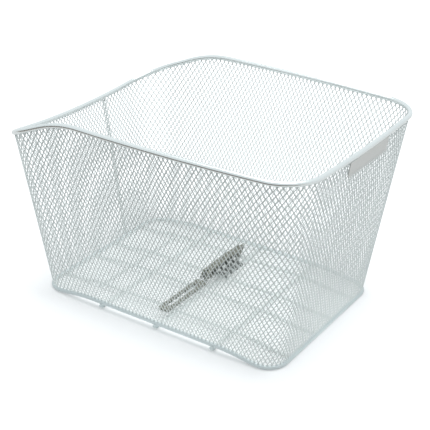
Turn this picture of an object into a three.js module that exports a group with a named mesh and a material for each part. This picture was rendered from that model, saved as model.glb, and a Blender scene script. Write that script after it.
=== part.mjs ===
// Rear bicycle basket of painted wire and diamond mesh, with its rack fixing straps lying on the floor.
// Millimetres, +Z up. The front, -X, is the saddle end, where the rim dips; +X is the rear of the bicycle.
// The origin is on the ground under the middle of the rim.
import * as THREE from 'three';

// Rim wire, measured on its centre line
const rimLength = 400;
const rimWidth = 311;
const rimHeight = 240;
const rimCornerRadius = 40;
const rimEndBow = 5;
const rimSideBow = 10.5;
const rimDiameter = 6;

// Dip of the rim at the saddle end: its fall and run along the sides, the length of the bend into it, and what
// it falls further between the front corners
const saddleDip = 40;
const saddleDipRun = 93;
const saddleDipBend = 56;
const saddleDipMiddle = 9.6;

// Base ring, measured on its centre line, set back towards the rear
const baseLength = 326;
const baseWidth = 236;
const baseCornerRadius = 24;
const baseSetback = 4.5;
const ringDiameter = 5;

// Floor grid: three rods across, wires along on top of them, and one thin wire across near the front
const rodDiameter = 5;
const rodSpacing = 78.5;
const rodSetback = 7.5;
const rodChamfer = 0.6;
const longWireDiameter = 4;
const innerWireOffset = 21;
const outerWireOffset = 80;
const frontWireDiameter = 3;
const frontWireDistance = 107;

// The rods lift the middle of the floor; it falls to the ground between these distances from its middle
const crownFlat = 90;
const crownEnd = 152;

// Diamond mesh, drawn coarser than the real one of about 6 x 10 mm
const netThickness = 1.6;
const strandWidth = 3.4;
const rowsDown = 4;
const cellsAlongSide = 9;
const cellsAlongEnd = 6;
const cellsRoundCorner = 2;
const floorCellsAlong = 6;
const floorCellsAcross = 3;

// Reflector plate under the rear rim
const plateLength = 94;
const plateHeight = 17;
const plateThickness = 1;
const plateLip = 2.6;

// Fixing straps: slotted plates that clamp the floor to a rack, one loose and three bolted in a bundle
const strapLength = 84;
const strapWidth = 15;
const strapThickness = 2.5;
const strapCornerRadius = 3;
const slotLength = 64;
const slotWidth = 5.6;
const bundleStraps = 3;
const strapStagger = 9;
const looseStrapX = 2;
const looseStrapY = -54;
const bundleX = -1;
const bundleY = 32;
const boltDiameter = 5;
const boltLength = 25;
const boltPitch = 12;
const boltCount = 4;
const headDiameter = 9.5;
const headHeight = 3;
const tipChamfer = 0.6;
const washerDiameter = 10;
const washerThickness = 1;
const nutAcrossFlats = 8;
const nutHeight = 4;

// Gap between pieces that touch
const clearance = 0.3;

// Facets of the round sections, steps along the wires, and the length that a bend of one radian counts as
const rimFacets = 10;
const wireFacets = 8;
const rodFacets = 12;
const boltFacets = 12;
const arcFacets = 5;
const rimSteps = 92;
const ringSteps = 72;
const longWireSteps = 14;
const bendWeight = 200;

const { clamp, lerp, smoothstep } = THREE.MathUtils;

const rimRadius = rimDiameter / 2;
const ringRadius = ringDiameter / 2;
const rodRadius = rodDiameter / 2;
const longWireRadius = longWireDiameter / 2;
const frontWireRadius = frontWireDiameter / 2;
const boltRadius = boltDiameter / 2;

const silverPaint = { color: 0xc3cccb, roughness: 0.4, metalness: 0.35 };
const blackPaint = { color: 0x1b1d1e, roughness: 0.5, metalness: 0.2 };
const zincPlate = { color: 0xa8abad, roughness: 0.35, metalness: 0.9 };

const basket = new THREE.Group();

function addPiece(parent, name, geometry, finish) {
  const piece = new THREE.Mesh(geometry, new THREE.MeshStandardMaterial(finish));
  piece.name = name;
  parent.add(piece);
  return piece;
}

// A polygon with a flat side straight down, standing in for a round section
function roundSection(radius, facets) {
  const corners = [];
  for (let k = 0; k < facets; k += 1) {
    const angle = ((2 * k + 1) * Math.PI) / facets - Math.PI / 2;
    corners.push(new THREE.Vector2(radius * Math.cos(angle), radius * Math.sin(angle)));
  }
  return corners;
}

function wireAlong(path, radius, facets, steps) {
  const section = new THREE.Shape(roundSection(radius, facets));
  return new THREE.ExtrudeGeometry(section, { steps, bevelEnabled: false, extrudePath: path });
}

// Height gained by the floor where the rods carry it, at a distance from the middle of the base
function crownAt(x) {
  return (rodDiameter + clearance) * (1 - smoothstep(Math.abs(x), crownFlat, crownEnd));
}

// The line of a bent wire. Steps along it crowd where it bends.
class BentWire extends THREE.Curve {
  getLengths() {
    if (!this.stepLengths) {
      const points = this.getPoints(this.arcLengthDivisions);
      this.stepLengths = [0];
      for (let k = 1; k < points.length; k += 1) {
        const ahead = points[k].clone().sub(points[k - 1]);
        const before = k > 1 ? points[k - 1].clone().sub(points[k - 2]) : ahead;
        const step = ahead.length() + bendWeight * before.angleTo(ahead);
        this.stepLengths.push(this.stepLengths[k - 1] + step);
      }
    }
    return this.stepLengths;
  }
}

// A wire loop: in plan, a rectangle with round corners and bowed sides. Its eight runs go anticlockwise seen
// from above, each side followed by its corner: left, rear, right and front.
class WireLoop extends BentWire {
  constructor({ length, width, cornerRadius, endBow, sideBow, middleX, heightAt }) {
    super();
    this.halfX = length / 2 - endBow;
    this.halfY = width / 2 - sideBow;
    this.cornerRadius = cornerRadius;
    this.endBow = endBow;
    this.sideBow = sideBow;
    this.middleX = middleX;
    this.heightAt = heightAt;
  }

  // Point at a share of one run
  onRun(run, share) {
    const { halfX, halfY, cornerRadius } = this;
    const side = Math.floor(run / 2);
    const isEnd = side % 2 === 1;
    const reach = (isEnd ? halfY : halfX) - cornerRadius;
    const offset = isEnd ? halfX : halfY;
    const plan = new THREE.Vector2(lerp(-reach, reach, share), -offset);
    if (run % 2 === 1) {
      const angle = ((share - 1) * Math.PI) / 2;
      plan.set(Math.cos(angle), Math.sin(angle)).multiplyScalar(cornerRadius);
      plan.add(new THREE.Vector2(reach, cornerRadius - offset));
    }
    plan.rotateAround(new THREE.Vector2(), (side * Math.PI) / 2);
    const u = plan.x / halfX;
    const v = plan.y / halfY;
    const x = u * (halfX + this.endBow * (1 - v * v));
    const y = v * (halfY + this.sideBow * (1 - u * u));
    return new THREE.Vector3(this.middleX + x, y, this.heightAt(x, v));
  }

  // The wire starts and ends at a butt joint in the middle of the front
  getPoint(t) {
    const joint = clearance / 2 / (this.halfY - this.cornerRadius) / 2;
    const place = lerp(6.5 + joint, 14.5 - joint, t);
    const run = Math.min(Math.floor(place), 14);
    return this.onRun(run % 8, place - run);
  }
}

// Rim
const rimHalfX = rimLength / 2 - rimEndBow;

// The rim bends from level into a straight slope, which goes on round the front corners
function rimHeightAt(x, v) {
  const past = saddleDipRun - rimHalfX - x;
  const inBend = clamp(past + saddleDipBend / 2, 0, saddleDipBend);
  const onSlope = inBend ** 2 / (2 * saddleDipBend) + Math.max(past - saddleDipBend / 2, 0);
  const atFront = smoothstep(past, 0, saddleDipRun) * (1 - v * v);
  return rimHeight - (saddleDip * onSlope) / saddleDipRun - saddleDipMiddle * atFront;
}

const rim = new WireLoop({
  length: rimLength,
  width: rimWidth,
  cornerRadius: rimCornerRadius,
  endBow: rimEndBow,
  sideBow: rimSideBow,
  middleX: 0,
  heightAt: rimHeightAt,
});
addPiece(basket, 'rim_tube', wireAlong(rim, rimRadius, rimFacets, rimSteps), silverPaint);

// Base ring, on the ground at both ends and over the rods between
const ring = new WireLoop({
  length: baseLength,
  width: baseWidth,
  cornerRadius: baseCornerRadius,
  endBow: 0,
  sideBow: 0,
  middleX: baseSetback,
  heightAt: (x) => ringRadius + crownAt(x),
});
addPiece(basket, 'base_ring', wireAlong(ring, ringRadius, wireFacets, ringSteps), silverPaint);

// A straight rod along Y with chamfered ends and a flat side straight down
function straightRod(radius, length, facets, chamfer) {
  const profile = [
    new THREE.Vector2(0, -length / 2),
    new THREE.Vector2(radius - chamfer, -length / 2),
    new THREE.Vector2(radius, chamfer - length / 2),
    new THREE.Vector2(radius, length / 2 - chamfer),
    new THREE.Vector2(radius - chamfer, length / 2),
    new THREE.Vector2(0, length / 2),
  ];
  return new THREE.LatheGeometry(profile, facets, Math.PI / facets);
}

// Cross rods, flush with the outside of the base ring
const rodFlat = rodRadius * Math.cos(Math.PI / rodFacets);
const rodLength = baseWidth + ringDiameter;
for (let k = 0; k < 3; k += 1) {
  const rod = straightRod(rodRadius, rodLength, rodFacets, rodChamfer);
  const piece = addPiece(basket, `cross_rod_${k + 1}`, rod, silverPaint);
  piece.position.set(rodSetback + (k - 1) * rodSpacing, 0, rodFlat);
}

// Long wires on the rods, butted against the ends of the base ring
class LongWire extends BentWire {
  constructor(y) {
    super();
    this.y = y;
    this.reach = baseLength / 2 - ringRadius - clearance;
  }

  getPoint(t) {
    const x = lerp(-this.reach, this.reach, t);
    return new THREE.Vector3(baseSetback + x, this.y, longWireRadius + crownAt(x));
  }
}

const longWireOffsets = [-outerWireOffset, -innerWireOffset, innerWireOffset, outerWireOffset];
longWireOffsets.forEach((y, k) => {
  const wire = wireAlong(new LongWire(y), longWireRadius, wireFacets, longWireSteps);
  addPiece(basket, `long_wire_${k + 1}`, wire, silverPaint);
});

// Thin front wire, hung under the long wires
const frontWireLength = 2 * (outerWireOffset + longWireRadius);
const frontWire = straightRod(frontWireRadius, frontWireLength, wireFacets, rodChamfer);
addPiece(basket, 'front_wire', frontWire, silverPaint).position.set(
  baseSetback - frontWireDistance,
  0,
  crownAt(frontWireDistance) - clearance - frontWireRadius,
);

// The normal of a surface that is given as a point for each pair of shares
function normalOf(surface) {
  const step = 1e-4;
  return (u, v) => {
    const along = surface(Math.min(u + step, 1), v).sub(surface(Math.max(u - step, 0), v));
    const across = surface(u, Math.min(v + step, 1)).sub(surface(u, Math.max(v - step, 0)));
    return along.cross(across).normalize();
  };
}

// Diamond mesh over a surface. Each half cell holds one strand from corner to corner, the next one the other
// way, so the holes stand point to point. An edge that no neighbour shares is closed through the thickness.
function diamondNet(surface, normalAt, cellsAlong, cellsAcross) {
  const columns = 2 * cellsAlong;
  const rows = 2 * cellsAcross;
  const cellLength = surface(0, 0.5).distanceTo(surface(1, 0.5)) / columns;
  const cellWidth = surface(0.5, 0).distanceTo(surface(0.5, 1)) / rows;
  const solidShare = (strandWidth * Math.hypot(cellLength, cellWidth)) / (2 * cellLength * cellWidth);
  const hole = 1 - solidShare;
  const positions = [];
  const indices = [];
  const known = new Map();
  const edges = new Map();

  // Index of a point's upper vertex; the lower one follows it
  function vertex([column, row]) {
    const key = `${column.toFixed(4)} ${row.toFixed(4)}`;
    if (!known.has(key)) {
      const u = column / columns;
      const v = row / rows;
      const middle = surface(u, v);
      const half = normalAt(u, v).multiplyScalar(netThickness / 2);
      known.set(key, positions.length / 3);
      positions.push(...middle.clone().add(half).toArray(), ...middle.sub(half).toArray());
    }
    return known.get(key);
  }

  function strand(outline) {
    const [a, b, c, d, e, f] = outline.map(vertex);
    for (const [p, q, r] of [[a, b, f], [b, c, e], [b, e, f], [c, d, e]]) {
      indices.push(p, q, r, r + 1, q + 1, p + 1);
    }
    [a, b, c, d, e, f].forEach((from, k, loop) => {
      const to = loop[(k + 1) % loop.length];
      if (!edges.delete(`${to} ${from}`)) {
        edges.set(`${from} ${to}`, [from, to]);
      }
    });
  }

  for (let i = 0; i < columns; i += 1) {
    for (let j = 0; j < rows; j += 1) {
      const p = i + 1;
      const q = j + 1;
      if ((i + j) % 2 === 0) {
        strand([[i, j], [p - hole, j], [p, j + hole], [p, q], [i + hole, q], [i, q - hole]]);
      } else {
        strand([[p, j], [p, q - hole], [p - hole, q], [i, q], [i, j + hole], [i + hole, j]]);
      }
    }
  }
  for (const [from, to] of edges.values()) {
    indices.push(from + 1, to + 1, to, from + 1, to, from);
  }
  const net = new THREE.BufferGeometry();
  net.setAttribute('position', new THREE.Float32BufferAttribute(positions, 3));
  net.setIndex(indices);
  net.computeVertexNormals();
  return net;
}

// One run of the wall, stretched from under the rim down to the top of the base ring. Where a wire slopes,
// the mesh ends further along its fall, so that the gap across the wire stays the same.
function wallSurface(run) {
  const spare = clearance / 2 / ring.onRun(run, 0).distanceTo(ring.onRun(run, 1));
  const step = 1e-4;

  function inset(wire, radius, share, fall) {
    const along = wire.onRun(run, share + step).sub(wire.onRun(run, share - step)).normalize();
    return (radius + clearance) / along.cross(fall).length();
  }

  return (u, v) => {
    const share = lerp(spare, 1 - spare, u);
    const top = rim.onRun(run, share);
    const foot = ring.onRun(run, share);
    const fall = foot.clone().sub(top).normalize();
    top.addScaledVector(fall, inset(rim, rimRadius, share, fall));
    foot.addScaledVector(fall, -inset(ring, ringRadius, share, fall));
    return top.lerp(foot, v);
  };
}

const wallNames = [
  'wall_left',
  'corner_rear_left',
  'wall_rear',
  'corner_rear_right',
  'wall_right',
  'corner_front_right',
  'wall_front',
  'corner_front_left',
];
const wallCells = [cellsAlongSide, cellsRoundCorner, cellsAlongEnd, cellsRoundCorner];
wallNames.forEach((name, run) => {
  const surface = wallSurface(run);
  const net = diamondNet(surface, normalOf(surface), wallCells[run % 4], rowsDown);
  addPiece(basket, name, net, silverPaint);
});

// Floor mesh on the long wires, inside the base ring
const floorInset = ringRadius + clearance;
const floorCorner = baseCornerRadius - floorInset;
const floorHalfX = baseLength / 2 - floorInset;
const floorHalfY = baseWidth / 2 - floorInset;

function floorMiddleAt(x) {
  return longWireDiameter + clearance + netThickness / 2 + crownAt(x);
}

// The mesh is cut off round inside the corners of the ring
function floorSurface(u, v) {
  const plan = new THREE.Vector2(lerp(-floorHalfX, floorHalfX, u), lerp(-floorHalfY, floorHalfY, v));
  const inner = new THREE.Vector2(floorHalfX - floorCorner, floorHalfY - floorCorner);
  const corner = plan.clone().clamp(inner.clone().negate(), inner);
  plan.sub(corner).clampLength(0, floorCorner).add(corner);
  return new THREE.Vector3(baseSetback + plan.x, plan.y, floorMiddleAt(plan.x));
}
const floorNormal = () => new THREE.Vector3(0, 0, 1);
const floorNet = diamondNet(floorSurface, floorNormal, floorCellsAlong, floorCellsAcross);
addPiece(basket, 'floor_net', floorNet, silverPaint);

// Reflector plate, flat against the outside of the rear wall, its lower edge turned outwards
const rearTop = rim.onRun(2, 0.5);
const rearDrop = ring.onRun(2, 0.5).sub(rearTop).normalize();
const rearLean = Math.atan2(-rearDrop.x, -rearDrop.z);
const plateProfile = new THREE.Shape([
  new THREE.Vector2(0, 0),
  new THREE.Vector2(0, -plateHeight),
  new THREE.Vector2(plateThickness + plateLip, -plateHeight),
  new THREE.Vector2(plateThickness + plateLip, plateThickness - plateHeight),
  new THREE.Vector2(plateThickness, plateThickness - plateHeight),
  new THREE.Vector2(plateThickness, 0),
]);
const plate = new THREE.ExtrudeGeometry(plateProfile, { depth: plateLength, bevelEnabled: false });
plate.translate(netThickness / 2 + clearance, -rimRadius - clearance, -plateLength / 2);
plate.rotateX(Math.PI / 2);
plate.rotateY(rearLean);
addPiece(basket, 'reflector_plate', plate, silverPaint).position.copy(rearTop);

// Outline with round corners, its middle at the origin
function roundedOutline(Kind, width, length, radius) {
  const outline = new Kind();
  const x = width / 2 - radius;
  const y = length / 2 - radius;
  outline.absarc(x, y, radius, 0, Math.PI / 2);
  outline.absarc(-x, y, radius, Math.PI / 2, Math.PI);
  outline.absarc(-x, -y, radius, Math.PI, Math.PI * 1.5);
  outline.absarc(x, -y, radius, Math.PI * 1.5, Math.PI * 2);
  return outline;
}

function strapPlate() {
  const outline = roundedOutline(THREE.Shape, strapWidth, strapLength, strapCornerRadius);
  outline.holes.push(roundedOutline(THREE.Path, slotWidth, slotLength, slotWidth / 2));
  return new THREE.ExtrudeGeometry(outline, {
    depth: strapThickness,
    bevelEnabled: false,
    curveSegments: arcFacets,
  });
}

const floorTop = floorMiddleAt(0) + netThickness / 2 + clearance;

// One strap lies flat on the floor
const looseStrap = addPiece(basket, 'strap_plate_1', strapPlate(), blackPaint);
looseStrap.position.set(looseStrapX, looseStrapY, floorTop);

// The other straps are bolted together and lie on their edges, leaning over on the bolts' tips
const strapStep = strapThickness + clearance;
const bundleDepth = bundleStraps * strapStep - clearance;
const tipReach = boltLength - clearance;
const bundleLean = Math.atan2(strapWidth / 2 - boltRadius, tipReach - bundleDepth);
const edgeDrop = (strapWidth / 2) * Math.cos(bundleLean) + bundleDepth * Math.sin(bundleLean);
const bundle = new THREE.Group();
bundle.position.set(bundleX, bundleY, floorTop + edgeDrop);
bundle.rotation.y = Math.PI / 2 + bundleLean;
basket.add(bundle);

for (let k = 0; k < bundleStraps; k += 1) {
  const strap = addPiece(bundle, `strap_plate_${k + 2}`, strapPlate(), blackPaint);
  strap.position.set(0, k === 1 ? strapStagger : 0, k * strapStep);
}

// Round-headed bolt, pointing along +Y with its head's seat at the origin
function boltGeometry() {
  const headRadius = headDiameter / 2;
  const profile = [
    new THREE.Vector2(0, -headHeight),
    new THREE.Vector2(headRadius * 0.45, -headHeight * 0.92),
    new THREE.Vector2(headRadius * 0.85, -headHeight * 0.6),
    new THREE.Vector2(headRadius, 0),
    new THREE.Vector2(boltRadius, 0),
    new THREE.Vector2(boltRadius, boltLength - tipChamfer),
    new THREE.Vector2(boltRadius - tipChamfer, boltLength),
    new THREE.Vector2(0, boltLength),
  ];
  return new THREE.LatheGeometry(profile, boltFacets).rotateX(Math.PI / 2);
}

function ringGeometry(outline, thickness) {
  outline.holes.push(new THREE.Path(roundSection(boltRadius + clearance, boltFacets)));
  return new THREE.ExtrudeGeometry(outline, { depth: thickness, bevelEnabled: false });
}

const washerSeat = bundleDepth + clearance;
const nutSeat = washerSeat + washerThickness + clearance;
const nutRadius = nutAcrossFlats / 2 / Math.cos(Math.PI / 6);
for (let k = 0; k < boltCount; k += 1) {
  const y = (k - (boltCount - 1) / 2) * boltPitch;
  const bolt = addPiece(bundle, `strap_bolt_${k + 1}`, boltGeometry(), zincPlate);
  bolt.position.set(0, y, -clearance);
  const round = new THREE.Shape(roundSection(washerDiameter / 2, 2 * boltFacets));
  const disc = ringGeometry(round, washerThickness);
  const washer = addPiece(bundle, `strap_washer_${k + 1}`, disc, zincPlate);
  washer.position.set(0, y, washerSeat);
  const hexagon = ringGeometry(new THREE.Shape(roundSection(nutRadius, 6)), nutHeight);
  const nut = addPiece(bundle, `strap_nut_${k + 1}`, hexagon, zincPlate);
  nut.position.set(0, y, nutSeat);
}

export default basket;
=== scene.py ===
# Rear bicycle basket: silver wire, diamond mesh, a bare reflector plate and a kit of black straps.
# The dictionaries hold millimetres; meshes are made in metres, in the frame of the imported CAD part.
import math

import bpy
import numpy as np
from mathutils import Matrix, Vector


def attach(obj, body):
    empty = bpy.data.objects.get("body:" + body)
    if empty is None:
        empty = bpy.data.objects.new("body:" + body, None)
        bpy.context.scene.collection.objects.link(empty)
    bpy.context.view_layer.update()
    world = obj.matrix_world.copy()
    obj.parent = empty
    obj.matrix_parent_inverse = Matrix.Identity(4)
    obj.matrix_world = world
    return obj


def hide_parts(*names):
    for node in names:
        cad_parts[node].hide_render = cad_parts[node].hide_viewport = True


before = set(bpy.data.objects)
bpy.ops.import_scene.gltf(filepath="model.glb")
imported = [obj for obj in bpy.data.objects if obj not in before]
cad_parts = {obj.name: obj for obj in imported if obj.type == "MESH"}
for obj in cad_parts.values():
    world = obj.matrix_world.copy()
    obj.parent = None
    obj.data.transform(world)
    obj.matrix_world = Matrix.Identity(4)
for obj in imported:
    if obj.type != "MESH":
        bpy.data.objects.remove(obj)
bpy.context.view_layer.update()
mm = 0.001
print("frame loaded:", len(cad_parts), "CAD nodes")


# Node trees

def hexToLinear(code):
    channels = [int(code[k:k + 2], 16) / 255 for k in (1, 3, 5)]
    linear = [c / 12.92 if c <= 0.04045 else ((c + 0.055) / 1.055) ** 2.4 for c in channels]
    return (*linear, 1.0)


# A setting is a property where the node has one of that name, otherwise an input socket. A colour Mix
# has its share at socket 0, its two colours at 6 and 7, and its result at output 2.
def addNode(tree, kind, settings=None, links=None):
    node = tree.nodes.new(kind)
    for name, value in (settings or {}).items():
        if isinstance(name, str) and hasattr(node, name):
            setattr(node, name, value)
        else:
            node.inputs[name].default_value = value
    for name, source in (links or {}).items():
        tree.links.new(source, node.inputs[name])
    return node


def newMaterial(name):
    material = bpy.data.materials.new(name)
    material.use_nodes = True
    material.node_tree.nodes.clear()
    return material, material.node_tree


# Texture scale at which one feature of a pattern is about this many millimetres across
def scaleFor(size):
    return 1 / (size * mm)


bumpDepth = 0.1 * mm  # a bump at full strength


# Steel wire and mesh, sprayed with silver paint: aluminium flake in a clear binder. The eye sees a
# pale grey-blue metal, a little cloudy, with soft broad highlights and the slight ripple of a
# sprayed coat.
def sprayedSilverPaint(name, look):
    material, tree = newMaterial(name)
    place = addNode(tree, "ShaderNodeTexCoord").outputs["Object"]
    cloud = addNode(tree, "ShaderNodeTexNoise", {"Scale": scaleFor(look["cloud"]), "Detail": 3.0},
                    {"Vector": place})
    # Flakes of 0.03 mm are drawn as grains that a pixel can hold
    grain = addNode(tree, "ShaderNodeTexNoise", {"Scale": scaleFor(look["grain"]), "Detail": 1.0},
                    {"Vector": place})
    tone = addNode(tree, "ShaderNodeMix", {"data_type": "RGBA", 6: hexToLinear(look["dark"]),
                                           7: hexToLinear(look["light"])},
                   {0: cloud.outputs["Fac"]})
    speck = addNode(tree, "ShaderNodeMapRange",
                    {"From Min": 0.3, "From Max": 0.7,
                     "To Min": look["roughLow"], "To Max": look["roughHigh"]},
                    {"Value": grain.outputs["Fac"]})
    peel = addNode(tree, "ShaderNodeTexNoise", {"Scale": scaleFor(look["peel"]), "Detail": 2.0},
                   {"Vector": place})
    ripple = addNode(tree, "ShaderNodeBump", {"Strength": look["ripple"], "Distance": bumpDepth},
                     {"Height": peel.outputs["Fac"]})
    paint = addNode(tree, "ShaderNodeBsdfPrincipled",
                    {"Metallic": look["metallic"], "Coat Weight": look["coat"],
                     "Coat Roughness": 0.25},
                    {"Base Color": tone.outputs[2], "Roughness": speck.outputs["Result"],
                     "Normal": ripple.outputs["Normal"]})
    addNode(tree, "ShaderNodeOutputMaterial", links={"Surface": paint.outputs["BSDF"]})
    return material


# The rim's drawn wire is smooth, so its coat shines most
wirePaint = sprayedSilverPaint("silverPaintSprayedOnWire", {
    "dark": "#D4DBDB", "light": "#E2E8E8", "cloud": 45, "grain": 1.1, "peel": 2.5, "ripple": 0.1,
    "roughLow": 0.18, "roughHigh": 0.26, "metallic": 0.85, "coat": 0,
})
# The base ring and its welds get a duller, rougher copy of the wire's paint, drawn darker: painted
# shade for the wall that overhangs the ring
shadedBasePaint = sprayedSilverPaint("silverPaintWithPaintedShadeOnBaseWire", {
    "dark": "#BEC8C9", "light": "#CED7D8", "cloud": 45, "grain": 1.1, "peel": 2.5, "ripple": 0.1,
    "roughLow": 0.4, "roughHigh": 0.52, "metallic": 0.45, "coat": 0,
})
# Mesh, and the rods and wires under the floor: a paler, rougher coat over cut edges
meshPaint = sprayedSilverPaint("silverPaintSprayedOnExpandedSteel", {
    "dark": "#CFD6D5", "light": "#E1E6E5", "cloud": 30, "grain": 1.1, "peel": 1.5, "ripple": 0.2,
    "roughLow": 0.4, "roughHigh": 0.52, "metallic": 0.2, "coat": 0.1,
})
# The plate is flat sheet, so its coat lies even; its colour is a little darker than the wire's paint,
# as painted reflection of the dim surroundings it mirrors
platePaint = sprayedSilverPaint("silverPaintSprayedOnPressedSheet", {
    "dark": "#C6C9C7", "light": "#D0D2D0", "cloud": 25, "grain": 1.1, "peel": 2.0, "ripple": 0.1,
    "roughLow": 0.3, "roughHigh": 0.4, "metallic": 0.6, "coat": 0.2,
})


# Punched steel strap with a stoved black coat, drawn as a lighter olive dark grey: the lift above
# black is a painted veil of light from the plastic bag round the kit, which isn't built. It has a
# satin shine and is worn paler along the edges.
def stovedBlackSteel(look):
    material, tree = newMaterial("blackEnamelStovedOnSteel")
    place = addNode(tree, "ShaderNodeTexCoord").outputs["Object"]
    patch = addNode(tree, "ShaderNodeTexNoise", {"Scale": scaleFor(look["patch"]), "Detail": 4.0},
                    {"Vector": place})
    tone = addNode(tree, "ShaderNodeMix", {"data_type": "RGBA", 6: hexToLinear(look["dark"]),
                                           7: hexToLinear(look["light"])},
                   {0: patch.outputs["Fac"]})
    edge = addNode(tree, "ShaderNodeNewGeometry").outputs["Pointiness"]
    wear = addNode(tree, "ShaderNodeMapRange",
                   {"From Min": look["wearFrom"], "From Max": look["wearTo"],
                    "To Max": look["mostWear"]},
                   {"Value": edge})
    worn = addNode(tree, "ShaderNodeMix", {"data_type": "RGBA", 7: hexToLinear(look["worn"])},
                   {0: wear.outputs["Result"], 6: tone.outputs[2]})
    speck = addNode(tree, "ShaderNodeMapRange",
                    {"From Min": 0.3, "From Max": 0.7,
                     "To Min": look["roughLow"], "To Max": look["roughHigh"]},
                    {"Value": patch.outputs["Fac"]})
    peel = addNode(tree, "ShaderNodeTexNoise", {"Scale": scaleFor(look["peel"])}, {"Vector": place})
    ripple = addNode(tree, "ShaderNodeBump", {"Strength": look["ripple"], "Distance": bumpDepth},
                     {"Height": peel.outputs["Fac"]})
    enamel = addNode(tree, "ShaderNodeBsdfPrincipled", {"IOR": 1.5},
                     {"Base Color": worn.outputs[2], "Roughness": speck.outputs["Result"],
                      "Normal": ripple.outputs["Normal"]})
    addNode(tree, "ShaderNodeOutputMaterial", links={"Surface": enamel.outputs["BSDF"]})
    return material


# Dark and light tones are lifted above black by the painted haze of the kit's bag
strapEnamelWithPaintedHaze = stovedBlackSteel({
    "dark": "#5C5F57", "light": "#74776D", "patch": 8, "peel": 1.2, "ripple": 0.3,
    "worn": "#9A9D93", "wearFrom": 0.52, "wearTo": 0.62, "mostWear": 0.6,
    "roughLow": 0.38, "roughHigh": 0.55,
})


# Zinc plate on small fasteners, dulled by passivation: mid-grey metal, faintly cloudy, with no sharp
# highlights.
def dullZincPlate(look):
    material, tree = newMaterial("zincPlatedSteel")
    place = addNode(tree, "ShaderNodeTexCoord").outputs["Object"]
    cloud = addNode(tree, "ShaderNodeTexNoise", {"Scale": scaleFor(look["cloud"]), "Detail": 3.0},
                    {"Vector": place})
    tone = addNode(tree, "ShaderNodeMix", {"data_type": "RGBA", 6: hexToLinear(look["dark"]),
                                           7: hexToLinear(look["light"])},
                   {0: cloud.outputs["Fac"]})
    speck = addNode(tree, "ShaderNodeMapRange",
                    {"To Min": look["roughLow"], "To Max": look["roughHigh"]},
                    {"Value": cloud.outputs["Fac"]})
    zinc = addNode(tree, "ShaderNodeBsdfPrincipled", {"Metallic": 1.0},
                   {"Base Color": tone.outputs[2], "Roughness": speck.outputs["Result"]})
    addNode(tree, "ShaderNodeOutputMaterial", links={"Surface": zinc.outputs["BSDF"]})
    return material


zincPlate = dullZincPlate({
    "dark": "#6E7371", "light": "#8C918F", "cloud": 4, "roughLow": 0.4, "roughHigh": 0.6,
})
print("materials ready")


# Mesh building

def addObject(name, data):
    item = bpy.data.objects.new(name, data)
    bpy.context.scene.collection.objects.link(item)
    return item


def finishPiece(name, mesh, material, nodes, sharp):
    mesh.materials.append(material)
    mesh.shade_smooth()
    mesh.set_sharp_from_angle(angle=math.radians(sharp))
    piece = addObject(name, mesh)
    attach(piece, "root")
    if nodes:
        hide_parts(*nodes)
    return piece


def addPiece(name, points, faces, material, slotName, nodes=(), sharp=35):
    mesh = bpy.data.meshes.new(name)
    mesh.from_pydata((np.asarray(points) * mm).tolist(), [], faces)
    return finishPiece(name, mesh, material, nodes, sharp)


# Skin over rings of points, one ring after another; it closes on itself or ends in flat caps
def skinRings(rings, closed=False):
    count, sides = rings.shape[:2]
    faces = []
    for k in range(count if closed else count - 1):
        low = k * sides
        high = (k + 1) % count * sides
        for s in range(sides):
            t = (s + 1) % sides
            faces.append((low + s, low + t, high + t, high + s))
    if not closed:
        faces.append(tuple(reversed(range(sides))))
        faces.append(tuple(range((count - 1) * sides, count * sides)))
    return rings.reshape(-1, 3), faces


def anglesRound(sides):
    return np.arange(sides) * 2 * np.pi / sides


# Rings of a round wire along a line of points
def wireRings(points, radii, sides=16, closed=False):
    if closed:
        ahead = np.roll(points, -1, axis=0) - np.roll(points, 1, axis=0)
    else:
        ahead = np.gradient(points, axis=0)
    ahead /= np.linalg.norm(ahead, axis=1, keepdims=True)
    across = np.cross(ahead, (0, 0, 1))
    across /= np.linalg.norm(across, axis=1, keepdims=True)
    upward = np.cross(across, ahead)
    angles = anglesRound(sides)[:, None]
    spread = np.cos(angles) * across[:, None] + np.sin(angles) * upward[:, None]
    return points[:, None] + np.broadcast_to(radii, len(points))[:, None, None] * spread


# Distances from one end and radii of a wire whose cut ends are rounded over
def roundedEnds(length, radius, rounding, between):
    turn = np.linspace(0, np.pi / 2, 5)
    start = rounding * (1 - np.cos(turn))
    endRadii = radius - rounding + rounding * np.sin(turn)
    middle = np.linspace(rounding, length - rounding, between + 1)[1:-1]
    steps = np.concatenate([start, middle, length - start[::-1]])
    radii = np.concatenate([endRadii, np.full(len(middle), radius), endRadii[::-1]])
    return steps, radii


def smoothStep(x, low, high):
    t = np.clip((x - low) / (high - low), 0, 1)
    return t * t * (3 - 2 * t)


# Wires

crown = {"lift": 5.3, "flat": 90, "end": 152}  # the rods lift the floor's middle


def crownAt(x):
    return crown["lift"] * (1 - smoothStep(np.abs(x), crown["flat"], crown["end"]))


rim = {"halfX": 195, "halfY": 145, "corner": 40, "endBow": 5, "sideBow": 10.5, "middleX": 0,
       "radius": 3, "height": 240, "dip": 40, "dipRun": 93, "dipBend": 56, "dipMiddle": 9.6,
       "steps": 480}
ring = {"halfX": 163, "halfY": 118, "corner": 24, "endBow": 0, "sideBow": 0, "middleX": 4.5,
        "radius": 2.5, "steps": 400}


# At the saddle end the rim bends from level into a straight slope, which goes on round the corners
def rimHeightAt(x, v):
    past = rim["dipRun"] - rim["halfX"] - x
    inBend = np.clip(past + rim["dipBend"] / 2, 0, rim["dipBend"])
    onSlope = inBend ** 2 / (2 * rim["dipBend"]) + np.maximum(past - rim["dipBend"] / 2, 0)
    atFront = smoothStep(past, 0, rim["dipRun"]) * (1 - v * v)
    return rim["height"] - rim["dip"] * onSlope / rim["dipRun"] - rim["dipMiddle"] * atFront


rim["heightAt"] = rimHeightAt
ring["heightAt"] = lambda x, v: ring["radius"] + crownAt(x)
loopRuns = 8  # four sides, each followed by its corner


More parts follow.
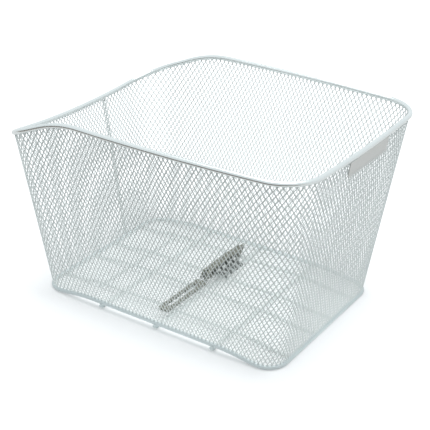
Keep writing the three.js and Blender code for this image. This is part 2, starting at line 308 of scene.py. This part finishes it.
# Point of a wire loop. Its place goes from 0 to the number of runs, one for each run.
def loopPoint(loop, place):
    place = np.mod(place, loopRuns)
    run = np.minimum(np.floor(place), loopRuns - 1)
    share = place - run
    side = np.floor(run / 2)
    isEnd = side % 2 == 1
    reach = np.where(isEnd, loop["halfY"], loop["halfX"]) - loop["corner"]
    offset = np.where(isEnd, loop["halfX"], loop["halfY"])
    angle = (share - 1) * np.pi / 2
    onCorner = run % 2 == 1
    planX = np.where(onCorner, reach + loop["corner"] * np.cos(angle), (2 * share - 1) * reach)
    planY = np.where(onCorner, loop["corner"] * (1 + np.sin(angle)), 0) - offset
    cos, sin = np.cos(side * np.pi / 2), np.sin(side * np.pi / 2)
    u = (cos * planX - sin * planY) / loop["halfX"]
    v = (sin * planX + cos * planY) / loop["halfY"]
    x = u * (loop["halfX"] + loop["endBow"] * (1 - v * v))
    y = v * (loop["halfY"] + loop["sideBow"] * (1 - u * u))
    return np.stack([loop["middleX"] + x, y, loop["heightAt"](x, v)], axis=-1)


lengthSteps = 2000  # over which a loop's length is added up


# Places at even lengths along a stretch of a loop, and that stretch's length
def evenPlaces(loop, start, end, count):
    places = np.linspace(start, end, lengthSteps + 1)
    plan = loopPoint(loop, places)[:, :2]
    length = np.concatenate([[0], np.cumsum(np.linalg.norm(np.diff(plan, axis=0), axis=1))])
    return np.interp(np.linspace(0, 1, count), length / length[-1], places), length[-1]


# Butt weld in the middle of the front, ground nearly flush
weld = {"joint": 6.5, "swell": 0.22, "spread": 2.5}


def wireLoop(name, loop, paint, node):
    places, _ = evenPlaces(loop, weld["joint"], weld["joint"] + loopRuns, loop["steps"] + 1)
    points = loopPoint(loop, places[:-1])
    away = np.linalg.norm(points - points[0], axis=1)
    radii = loop["radius"] + weld["swell"] * np.exp(-(away / weld["spread"]) ** 2)
    rings = wireRings(points, radii, closed=True)
    rings[..., 2] = np.maximum(rings[..., 2], 0)  # flush underneath
    addPiece(name, *skinRings(rings, closed=True), paint, "silver_paint", [node])


wireLoop("rimWire", rim, wirePaint, "rim_tube")
# The ring's paint is darkened with painted shade
wireLoop("baseRingWire", ring, shadedBasePaint, "base_ring")

rods = {"radius": 2.5, "length": 241, "rounding": 0.9, "middleX": 7.5, "spacing": 78.5,
        "centre": 2.415}
longWires = {"radius": 2, "reach": 160.2, "rounding": 0.5, "offsets": (-80, -21, 21, 80)}
frontWire = {"radius": 1.5, "length": 164, "rounding": 0.5, "x": -102.5, "centre": 2.5}


def straightWire(name, x, z, sizes, node):
    steps, radii = roundedEnds(sizes["length"], sizes["radius"], sizes["rounding"], between=6)
    points = np.column_stack([np.full(len(steps), x), steps - sizes["length"] / 2,
                              np.full(len(steps), z)])
    addPiece(name, *skinRings(wireRings(points, radii)), meshPaint, "silver_paint", [node])


# Over the rods, following the crown of the floor
def longWire(number, y):
    steps, radii = roundedEnds(2 * longWires["reach"], longWires["radius"], longWires["rounding"],
                               between=60)
    along = steps - longWires["reach"]
    points = np.column_stack([ring["middleX"] + along, np.full(len(along), y),
                              longWires["radius"] + crownAt(along)])
    rings = wireRings(points, radii, sides=12)
    addPiece(f"longWire{number}", *skinRings(rings), meshPaint, "silver_paint",
             [f"long_wire_{number}"])


rodPlaces = [rods["middleX"] + step * rods["spacing"] for step in (-1, 0, 1)]
for number, rodX in enumerate(rodPlaces, 1):
    straightWire(f"crossRod{number}", rodX, rods["centre"], rods, f"cross_rod_{number}")
straightWire("frontWire", frontWire["x"], frontWire["centre"], frontWire, "front_wire")
for number, wireY in enumerate(longWires["offsets"], 1):
    longWire(number, wireY)

# Weld collars between the rods' ends and the ring that lies on them, a little uneven
collar = {"waist": 2.9, "flare": 1.0, "reach": 2.2, "centre": 5.1, "squash": 0.85, "uneven": 0.12,
          "sides": 16, "rings": 9}


def weldCollar(number, rod, rodX, side):
    rise = np.linspace(-1, 1, collar["rings"])[:, None]
    angles = anglesRound(collar["sides"])
    radii = collar["waist"] + collar["flare"] * rise ** 2
    radii = radii + collar["uneven"] * np.sin(3 * angles + rod + side) * np.cos(2 * rise + rod)
    seat = np.array([rodX, side * ring["halfY"], collar["centre"]])
    rings = seat + np.stack([radii * np.cos(angles), collar["squash"] * radii * np.sin(angles),
                             np.broadcast_to(collar["reach"] * rise, radii.shape)], axis=-1)
    # The collars share the ring's paint with its painted shade
    addPiece(f"weldCollar{number}", *skinRings(rings), shadedBasePaint, "silver_paint", sharp=60)


for rod, rodX in enumerate(rodPlaces):
    weldCollar(2 * rod + 1, rod, rodX, -1)
    weldCollar(2 * rod + 2, rod, rodX, 1)
print("wires ready")


# Diamond mesh

meshStock = {
    "cellWidth": 5.6,
    "cellHeight": 9.7,
    "strand": 0.88,
    "sheet": 0.6,
    "cornerStretch": 0.13,  # the corners open the diamonds along the rim, and the sides close them
    "seamTurn": 2.28,  # in quarter turns: on the saddle end
    "lap": 5.6,  # one cell
    "lapGap": 0.2,
}


# Diamonds over a lattice of half cells. Every other crossing is a knot of five points, and a strand
# runs from knot to knot. locate gives points, normals and how far past an edge each lattice place
# lies.
def diamondMesh(columns, rows, locate):
    half = (meshStock["cellWidth"] / 2, meshStock["cellHeight"] / 2)
    bite = meshStock["strand"] * math.hypot(*half) / (2 * half[0] * half[1])
    i, j = np.meshgrid(np.arange(columns + 1), np.arange(rows + 1), indexing="ij")
    knots = (i + j) % 2 == 0
    knotNumber = np.full(i.shape, -1)
    knotNumber[knots] = np.arange(knots.sum())
    # Middle, east, west, north and south of each knot, in lattice steps
    spokes = [(0, 0), (bite, 0), (-bite, 0), (0, -bite), (0, bite)]
    vertices = []
    for column, row in spokes:
        points, normals, _ = locate(i[knots] + column, j[knots] + row)
        for face in (0.5, -0.5):
            vertices.append(points + normals * face * meshStock["sheet"])
    vertices = np.stack(vertices, axis=1)
    past = locate(i[knots], j[knots])[2]

    i, j = np.meshgrid(np.arange(columns), np.arange(rows), indexing="ij")
    i, j = i.ravel(), j.ravel()
    falling = (i + j) % 2 == 0
    start = np.where(falling, knotNumber[i, j], knotNumber[i + 1, j])
    end = np.where(falling, knotNumber[i + 1, j + 1], knotNumber[i, j + 1])
    kept = np.minimum(past[start], past[end]) < 0
    start, end, falling = start[kept], end[kept], falling[kept]
    # The strand's outline, clockwise from the middle of its upper knot; the lower face comes next to
    # the upper one in the numbers
    perKnot = 2 * len(spokes)
    _, east, west, north, south = range(0, perKnot, 2)
    a, d = perKnot * start, perKnot * end
    b = a + np.where(falling, east, south)
    c = d + np.where(falling, north, east)
    e = d + np.where(falling, west, north)
    f = a + np.where(falling, south, west)
    faces = [[f, b, a], [f, e, c, b], [e, d, c]]
    faces += [[corner + 1 for corner in reversed(face)] for face in faces]
    faces += [[b, c, c + 1, b + 1], [e, f, f + 1, e + 1]]
    faces = [np.stack(face, axis=1) for face in faces]
    used, corners = np.unique(np.concatenate([face.ravel() for face in faces]), return_inverse=True)
    polygons = []
    begin = 0
    for face in faces:
        polygons += corners[begin:begin + face.size].reshape(face.shape).tolist()
        begin += face.size
    return vertices.reshape(-1, 3)[used], polygons


# Quarter turns go from the middle of one corner to the middle of the next, with even lengths inside
cornerMiddles = (1.5, 3.5, 5.5, 7.5)
quarterSteps = 500
turns = np.linspace(0, 4, 4 * quarterSteps + 1)


def turnPlaces(loop):
    quarters = [evenPlaces(loop, start, start + 2, quarterSteps + 1) for start in cornerMiddles]
    places = [places[:-1] for places, _ in quarters] + [[cornerMiddles[0] + loopRuns]]
    return np.concatenate(places), np.array([length for _, length in quarters])


rimPlaces, rimLengths = turnPlaces(rim)
ringPlaces, ringLengths = turnPlaces(ring)
quarterEnds = np.concatenate([[0], np.cumsum((rimLengths + ringLengths) / 2)])
wallLength = quarterEnds[-1]
# A half cell over, so that the diamonds of the lap fall between those beneath
wallPitch = wallLength / (round(wallLength / meshStock["cellWidth"]) + 0.5)


# Points on the rim and the ring between which a column of the mesh hangs
def hangingLine(turn):
    turn = np.mod(turn, 4)
    stretched = turn + meshStock["cornerStretch"] * np.sin(2 * np.pi * turn) / (2 * np.pi)
    upper = loopPoint(rim, np.interp(stretched, turns, rimPlaces))
    lower = loopPoint(ring, np.interp(turn, turns, ringPlaces))
    return upper, lower


# The wall hangs between rim and ring. Its rows stay level, so the rim's dip cuts across them.
def onWall(column, row):
    along = column * wallPitch / 2
    seam = np.interp(meshStock["seamTurn"], np.arange(5), quarterEnds)
    turn = np.interp(np.mod(seam + along, wallLength), quarterEnds, np.arange(5))
    upper, lower = hangingLine(turn)
    level = rim["height"] - row * meshStock["cellHeight"] / 2
    depth = (upper[:, 2] - level) / (upper[:, 2] - lower[:, 2])
    hung = np.clip(depth, 0, 1)[:, None]
    points = upper + (lower - upper) * hung
    # Normals come from the same depth a little ahead and a little behind
    neighbours = []
    for step in (0.004, -0.004):
        upperThere, lowerThere = hangingLine(turn + step)
        neighbours.append(upperThere * (1 - hung) + lowerThere * hung)
    ahead, behind = neighbours
    normals = np.cross(lower - upper, ahead - behind)
    normals /= np.linalg.norm(normals, axis=1, keepdims=True)
    lapped = smoothStep(along, wallLength - 2 * wallPitch, wallLength)
    points = points + normals * (lapped * (meshStock["sheet"] + meshStock["lapGap"]))[:, None]
    return points, normals, np.maximum(-depth, depth - 1)


wallColumns = round(2 * (wallLength + meshStock["lap"]) / wallPitch)
wallRows = math.ceil(2 * rim["height"] / meshStock["cellHeight"])
wallNodes = [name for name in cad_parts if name.startswith(("wall_", "corner_"))]
addPiece("wallMesh", *diamondMesh(wallColumns, wallRows, onWall), meshPaint, "silver_paint",
         wallNodes)

floorSheet = {"halfX": 161.8, "halfY": 116.8, "corner": 22.8, "rise": 5.2, "edgeDrop": 0.7,
              "edgeRun": 5}
floorColumns = 2 * math.ceil(2 * floorSheet["halfX"] / meshStock["cellWidth"])
floorRows = 2 * math.ceil(2 * floorSheet["halfY"] / meshStock["cellHeight"])


# The floor lies on the long wires and is trimmed round, on the shoulder of the ring
def onFloor(column, row):
    plan = np.stack([(column - floorColumns / 2) * meshStock["cellWidth"] / 2,
                     (row - floorRows / 2) * meshStock["cellHeight"] / 2], axis=1)
    inner = np.array([floorSheet["halfX"], floorSheet["halfY"]]) - floorSheet["corner"]
    core = np.clip(plan, -inner, inner)
    out = plan - core
    distance = np.linalg.norm(out, axis=1)
    trim = np.minimum(1, floorSheet["corner"] / np.maximum(distance, 1e-9))
    plan = core + out * trim[:, None]
    edge = smoothStep(distance, floorSheet["corner"] - floorSheet["edgeRun"], floorSheet["corner"])
    height = floorSheet["rise"] + crownAt(plan[:, 0]) - floorSheet["edgeDrop"] * edge
    points = np.column_stack([ring["middleX"] + plan[:, 0], plan[:, 1], height])
    normals = np.broadcast_to((0.0, 0.0, 1.0), points.shape)
    return points, normals, distance - floorSheet["corner"]


addPiece("floorMesh", *diamondMesh(floorColumns, floorRows, onFloor), meshPaint, "silver_paint",
         ["floor_net"])
print("mesh ready")


# Reflector plate: bent sheet, hung under the rear rim with its lower edge turned out

plate = {
    "place": 2.5,  # on the loops: the middle of the rear side
    "length": 94, "height": 17, "sheet": 1, "lip": 1.3, "bend": 0.8, "gapX": 1.1, "drop": 3.3,
    "tuck": 0.8, "edge": 0.25, "edgeAngle": 50,
}


def reflectorPlate():
    upper, lower = (loopPoint(loop, np.array([plate["place"]]))[0] for loop in (rim, ring))
    fall = (lower - upper) / np.linalg.norm(lower - upper)
    out = np.array([-fall[2], 0, fall[0]])
    bend, sheet, low = plate["bend"], plate["sheet"], plate["height"]
    full = bend + sheet
    lipEnd = sheet + plate["lip"]
    turn = np.linspace(0, np.pi / 2, 5)
    outer = [(full - full * math.cos(t), low - full * (1 - math.sin(t))) for t in turn]
    inner = [(full - bend * math.cos(t), low - sheet - bend * (1 - math.sin(t))) for t in turn]
    top = -plate["tuck"]  # welded to the underside of the rim
    lip = [(lipEnd, low), (lipEnd, low - sheet)]
    profile = [(0, top)] + outer + lip + inner[::-1] + [(sheet, top)]
    rings = []
    for y in np.linspace(-plate["length"] / 2, plate["length"] / 2, 7):
        along = np.array([0, y, 0])
        rings.append([upper + out * (plate["gapX"] + x) + fall * (plate["drop"] + z) + along
                      for x, z in profile])
    piece = addPiece("reflectorPlate", *skinRings(np.array(rings)), platePaint, "plate_paint",
                     ["reflector_plate"])
    edges = piece.modifiers.new("roundedEdges", "BEVEL")
    edges.width = plate["edge"] * mm
    edges.segments = 2
    edges.limit_method = "ANGLE"
    edges.angle_limit = math.radians(plate["edgeAngle"])


reflectorPlate()
print("plate ready")


# Fixing kit: one strap flat on the floor, three more bolted together and leaning on the bolts' tips

strap = {"length": 84, "width": 15, "thick": 2.5, "corner": 3, "slotLength": 64, "slotWidth": 5.6,
         "edge": 0.35}
bolt = {
    "radius": 2.5, "length": 25, "places": (-18, -6, 6, 18),
    "pitch": 0.8, "thread": 0.35, "threadFrom": 0.2, "tipGap": 0.3, "tipRun": 1.4, "tipTaper": 0.25,
    "head": 4.75, "headHeight": 3, "headGap": 0.3, "headTop": 0.45,  # top as a share of the head
    "socket": 1.5, "socketFlats": 3, "socketPoint": 0.4,
}
washer = {"radius": 5, "thick": 1, "bore": 2.8, "rounding": 0.15, "seat": 8.4}
nut = {"flats": 8, "height": 4, "bore": 2.8, "seat": 9.7,
       "coneSteps": (0.25, 0.6), "coneInset": 0.05, "coneSlope": 1.7}
kit = {"loose": (2, -54), "bundle": (-1, 32), "seat": 11.5, "edgeRise": 9.517, "gap": 2.8,
       "stagger": 9}


# Outline with round corners, its middle at the origin
def roundedOutline(width, length, radius, steps=8):
    turn = np.linspace(0, np.pi / 2, steps)
    x, y = width / 2 - radius, length / 2 - radius
    points = []
    for quarter, (cx, cy) in enumerate([(x, y), (-x, y), (-x, -y), (x, -y)]):
        for t in turn + quarter * np.pi / 2:
            points.append((cx + radius * math.cos(t), cy + radius * math.sin(t)))
    return points


# Punched strap: the outline and its slot filled as a flat curve, thickened, with rolled edges
def punchedStrap(name, matrix, node):
    curve = bpy.data.curves.new(name, "CURVE")
    curve.dimensions = "2D"
    curve.fill_mode = "BOTH"
    curve.bevel_depth = strap["edge"] * mm
    curve.bevel_resolution = 2
    curve.extrude = (strap["thick"] / 2 - strap["edge"]) * mm
    outer = roundedOutline(strap["width"] - 2 * strap["edge"], strap["length"] - 2 * strap["edge"],
                           strap["corner"] - strap["edge"])
    slotWidth = strap["slotWidth"] + 2 * strap["edge"]
    slotRadius = slotWidth / 2 - 0.01  # a hair less, so that no two points of its ends meet
    slot = roundedOutline(slotWidth, strap["slotLength"] + 2 * strap["edge"], slotRadius)
    for outline in (outer, slot):
        spline = curve.splines.new("POLY")
        spline.points.add(len(outline) - 1)
        for point, (x, y) in zip(spline.points, outline):
            point.co = (x * mm, y * mm, 0, 1)
        spline.use_cyclic_u = True
    drawn = addObject(name + "Outline", curve)
    bpy.context.view_layer.update()
    evaluated = drawn.evaluated_get(bpy.context.evaluated_depsgraph_get())
    mesh = bpy.data.meshes.new_from_object(evaluated)
    bpy.data.objects.remove(drawn)
    mesh.transform(matrix)
    mesh.materials.clear()
    finishPiece(name, mesh, strapEnamelWithPaintedHaze, [node], sharp=40)


def placeAt(x, y, z):
    return Matrix.Translation(Vector((x, y, z)) * mm)


loosePlace = placeAt(*kit["loose"], kit["seat"] + strap["thick"] / 2)
punchedStrap("looseStrap", loosePlace, "strap_plate_1")

# The bundle stands on its straps' edges and leans over until the bolts' tips meet the floor
bundleDepth = 2 * kit["gap"] + strap["thick"]
bundleLean = math.atan2(strap["width"] / 2 - bolt["radius"],
                        bolt["length"] - bolt["tipGap"] - bundleDepth)
bundlePlace = placeAt(*kit["bundle"], kit["seat"] + kit["edgeRise"])
bundlePlace = bundlePlace @ Matrix.Rotation(math.pi / 2 + bundleLean, 4, "Y")
for k, slide in enumerate((0, kit["stagger"], 0)):
    inBundle = placeAt(0, slide, k * kit["gap"] + strap["thick"] / 2)
    punchedStrap(f"bundledStrap{k + 1}", bundlePlace @ inBundle, f"strap_plate_{k + 2}")


# Rings about the bundle's own z axis, placed in the bundle
def addTurned(name, heights, radii, y, node, sides=24, closed=False):
    angles = anglesRound(sides)
    radii = np.broadcast_to(radii, (len(heights), sides))
    heights = np.broadcast_to(np.asarray(heights, float)[:, None], radii.shape)
    rings = np.stack([radii * np.cos(angles), y + radii * np.sin(angles), heights], axis=-1)
    rotation = np.array(bundlePlace.to_3x3())
    rings = rings @ rotation.T + np.array(bundlePlace.translation) / mm
    addPiece(name, *skinRings(rings, closed), zincPlate, "zinc_plate", [node], sharp=40)


def hexRadii(flats, sides):
    return flats / 2 / np.cos(np.mod(anglesRound(sides), np.pi / 3) - np.pi / 6)


# Button head with a hexagon socket, then a shank with a running thread
def kitBolt(number, y, sides=24):
    socket = hexRadii(bolt["socketFlats"], sides)
    headTop = -bolt["headHeight"] - bolt["headGap"]
    heights = [headTop + bolt["socket"], headTop + bolt["socket"], headTop]
    radii = [np.full(sides, bolt["socketPoint"]), socket, socket]
    for t in np.linspace(np.pi / 2, 0, 6):
        share = bolt["headTop"] + (1 - bolt["headTop"]) * math.cos(t)
        heights.append(-bolt["headHeight"] * math.sin(t) - bolt["headGap"])
        radii.append(np.full(sides, bolt["head"] * share))
    heights.append(-bolt["headGap"])
    radii.append(np.full(sides, bolt["radius"]))
    tipEnd = bolt["length"] - bolt["tipGap"]
    lead = np.arange(sides) / sides
    for step in np.arange(bolt["threadFrom"], tipEnd, bolt["pitch"] / 4):
        phase = np.mod(step / bolt["pitch"] - lead, 1)
        tip = 1 - bolt["tipTaper"] * smoothStep(step, bolt["length"] - bolt["tipRun"], tipEnd)
        heights.append(step)
        radii.append((bolt["radius"] - bolt["thread"] * np.abs(2 * phase - 1)) * tip)
    addTurned(f"kitBolt{number}", heights, np.array(radii), y, f"strap_bolt_{number}", sides)


def kitWasher(number, y):
    rounding, bore, radius = washer["rounding"], washer["bore"], washer["radius"]
    low, high = washer["seat"], washer["seat"] + washer["thick"]
    heights = [low, low, low + rounding, high - rounding, high, high]
    radii = np.array([bore, radius - rounding, radius, radius, radius - rounding, bore])[:, None]
    addTurned(f"kitWasher{number}", heights, radii, y, f"strap_washer_{number}", closed=True)


# The corners of the nut are turned off by a cone at both ends
def kitNut(number, y, sides=36):
    fromEnd = np.array([0, 0, *nut["coneSteps"]])
    heights = np.concatenate([fromEnd, nut["height"] - fromEnd[::-1]])
    fromEnd = np.concatenate([fromEnd, fromEnd[::-1]])
    cone = nut["flats"] / 2 - nut["coneInset"] + nut["coneSlope"] * fromEnd
    radii = np.minimum(hexRadii(nut["flats"], sides), cone[:, None])
    radii[[0, -1]] = nut["bore"]
    addTurned(f"kitNut{number}", heights + nut["seat"], radii, y, f"strap_nut_{number}", sides,
              closed=True)


for number, y in enumerate(bolt["places"], 1):
    kitBolt(number, y)
    kitWasher(number, y)
    kitNut(number, y)
print("kit ready")


# Stage, light and camera

stage = {
    "size": 8000, "fibre": 4,
    # Seen by the camera
    "seenPaper": "#E6E7E8", "glow": 0.18, "edgeGlow": 0.68, "edgeFrom": 400, "edgeTo": 1500,
    # Lighting the basket; base is in half sides, and the two limits are shares of it
    "insidePaper": "#F8F9FA", "outsidePaper": "#646565", "base": (168, 123),
    "insideTo": 0.9, "outsideFrom": 1.5,
    # Mirrored in the wires
    "backShine": 0.8, "frontShine": 0.07, "frontTint": "#C88A48", "backY": -260, "frontY": -500,
}
white = hexToLinear("#FFFFFF")


# Paper floor: matt, with some glow of its own, so that the camera sees it white around the shadow. It
# lights the basket from under its base, and less from further off. Wires mirror it white, but brown
# and unlit far in front.
def paperFloor():
    material, tree = newMaterial("whitePaperMatt")
    place = addNode(tree, "ShaderNodeTexCoord").outputs["Object"]
    fibre = addNode(tree, "ShaderNodeTexNoise", {"Scale": scaleFor(stage["fibre"]), "Detail": 3.0},
                    {"Vector": place})
    tooth = addNode(tree, "ShaderNodeBump", {"Strength": 0.02, "Distance": bumpDepth},
                    {"Height": fibre.outputs["Fac"]})
    ray = addNode(tree, "ShaderNodeLightPath")
    halfX, halfY = (side * mm for side in stage["base"])
    scaled = addNode(tree, "ShaderNodeVectorMath", {"operation": "DIVIDE", 1: (halfX, halfY, 1)},
                     {0: place})
    outwards = addNode(tree, "ShaderNodeVectorMath", {"operation": "LENGTH"},
                       {0: scaled.outputs["Vector"]})
    outside = addNode(tree, "ShaderNodeMapRange",
                      {"From Min": stage["insideTo"], "From Max": stage["outsideFrom"]},
                      {"Value": outwards.outputs["Value"]})
    tone = addNode(tree, "ShaderNodeMix",
                   {"data_type": "RGBA", 6: hexToLinear(stage["insidePaper"]),
                    7: hexToLinear(stage["outsidePaper"])},
                   {0: outside.outputs["Result"]})
    hidden = addNode(tree, "ShaderNodeBsdfDiffuse", {},
                     {"Color": tone.outputs[2], "Normal": tooth.outputs["Normal"]})
    seen = addNode(tree, "ShaderNodeBsdfDiffuse", {"Color": hexToLinear(stage["seenPaper"])},
                   {"Normal": tooth.outputs["Normal"]})
    matt = addNode(tree, "ShaderNodeMixShader", {},
                   {0: ray.outputs["Is Camera Ray"], 1: hidden.outputs[0], 2: seen.outputs[0]})
    away = addNode(tree, "ShaderNodeVectorMath", {"operation": "LENGTH"}, {0: place})
    glow = addNode(tree, "ShaderNodeMapRange",
                   {"From Min": stage["edgeFrom"] * mm, "From Max": stage["edgeTo"] * mm,
                    "To Min": stage["glow"], "To Max": stage["edgeGlow"]},
                   {"Value": away.outputs["Value"]})
    mirrored = addNode(tree, "ShaderNodeMath", {"operation": "MAXIMUM"},
                       {0: ray.outputs["Is Glossy Ray"], 1: ray.outputs["Is Transmission Ray"]})
    depth = addNode(tree, "ShaderNodeSeparateXYZ", {}, {0: place}).outputs["Y"]
    front = addNode(tree, "ShaderNodeMapRange",
                    {"From Min": stage["backY"] * mm, "From Max": stage["frontY"] * mm},
                    {"Value": depth})
    shine = addNode(tree, "ShaderNodeMapRange",
                    {"To Min": stage["backShine"], "To Max": stage["frontShine"]},
                    {"Value": front.outputs["Result"]})
    shining = addNode(tree, "ShaderNodeMath", {"operation": "MULTIPLY"},
                      {0: mirrored.outputs[0], 1: shine.outputs["Result"]})
    glowing = addNode(tree, "ShaderNodeMath", {"operation": "MULTIPLY_ADD"},
                      {0: ray.outputs["Is Camera Ray"], 1: glow.outputs["Result"],
                       2: shining.outputs[0]})
    brown = addNode(tree, "ShaderNodeMath", {"operation": "MULTIPLY"},
                    {0: mirrored.outputs[0], 1: front.outputs["Result"]})
    hue = addNode(tree, "ShaderNodeMix",
                  {"data_type": "RGBA", 6: white, 7: hexToLinear(stage["frontTint"])},
                  {0: brown.outputs[0]})
    light = addNode(tree, "ShaderNodeEmission", {},
                    {"Color": hue.outputs[2], "Strength": glowing.outputs[0]})
    both = addNode(tree, "ShaderNodeAddShader", {}, {0: matt.outputs[0], 1: light.outputs[0]})
    addNode(tree, "ShaderNodeOutputMaterial", links={"Surface": both.outputs[0]})
    mesh = bpy.data.meshes.new("paperFloor")
    half = stage["size"] / 2 * mm
    corners = [(-half, -half, 0), (half, -half, 0), (half, half, 0), (-half, half, 0)]
    mesh.from_pydata(corners, [], [(0, 1, 2, 3)])
    mesh.materials.append(material)
    addObject("paperFloor", mesh)


paperFloor()

# The sky is white to the camera and in reflections, and a soft fill light otherwise
studio = {"sky": 0.87, "tint": "#F9FDFF"}
world = bpy.data.worlds.new("whiteStudio")
bpy.context.scene.world = world
world.use_nodes = True
sky = world.node_tree
sky.nodes.clear()
ray = addNode(sky, "ShaderNodeLightPath")
mirrored = addNode(sky, "ShaderNodeMath", {"operation": "MAXIMUM"},
                   {0: ray.outputs["Is Glossy Ray"], 1: ray.outputs["Is Transmission Ray"]})
seen = addNode(sky, "ShaderNodeMath", {"operation": "MAXIMUM"},
               {0: mirrored.outputs[0], 1: ray.outputs["Is Camera Ray"]})
strength = addNode(sky, "ShaderNodeMapRange", {"To Min": studio["sky"], "To Max": 1.0},
                   {"Value": seen.outputs[0]})
hue = addNode(sky, "ShaderNodeMix", {"data_type": "RGBA", 6: hexToLinear(studio["tint"]), 7: white},
              {0: ray.outputs["Is Camera Ray"]})
backdrop = addNode(sky, "ShaderNodeBackground", {},
                   {"Color": hue.outputs[2], "Strength": strength.outputs["Result"]})
addNode(sky, "ShaderNodeOutputWorld", links={"Surface": backdrop.outputs[0]})

softbox = {"place": (0, 120, 1900), "aim": (0, 120, 0), "size": (1300, 950), "watts": 25}
light = bpy.data.lights.new("overheadSoftbox", "AREA")
light.shape = "RECTANGLE"
light.size, light.size_y = (side * mm for side in softbox["size"])
light.energy = softbox["watts"]
lamp = addObject("overheadSoftbox", light)
lamp.location = Vector(softbox["place"]) * mm
aim = Vector(softbox["aim"]) * mm - lamp.location
lamp.rotation_euler = aim.to_track_quat("-Z", "Y").to_euler()

# Camera: angles and distance from the corners of the rim and the base in the photograph
view = {"azimuth": 31.709, "elevation": 26.222, "roll": 2.345, "distance": 1333.1,
        "aim": (0, 0, 110), "slideRight": 7.62, "slideUp": -10.3, "lens": 92.71, "clipEnd": 20000}
azimuth, elevation, roll = (math.radians(view[key]) for key in ("azimuth", "elevation", "roll"))
back = Vector((math.sin(azimuth) * math.cos(elevation), -math.cos(azimuth) * math.cos(elevation),
               math.sin(elevation)))
levelRight = Vector((math.cos(azimuth), math.sin(azimuth), 0))
levelUp = back.cross(levelRight)
right = levelRight * math.cos(roll) + levelUp * math.sin(roll)
up = levelUp * math.cos(roll) - levelRight * math.sin(roll)
eye = Vector(view["aim"]) + back * view["distance"]
eye = eye + right * view["slideRight"] + up * view["slideUp"]
camera = addObject("productCamera", bpy.data.cameras.new("productCamera"))
camera.data.lens = view["lens"]
camera.data.clip_end = view["clipEnd"] * mm
turned = Matrix((right, up, back)).transposed().to_4x4()
camera.matrix_world = Matrix.Translation(eye * mm) @ turned
bpy.context.scene.camera = camera
bpy.context.scene.view_settings.view_transform = "Standard"
print("stage ready")
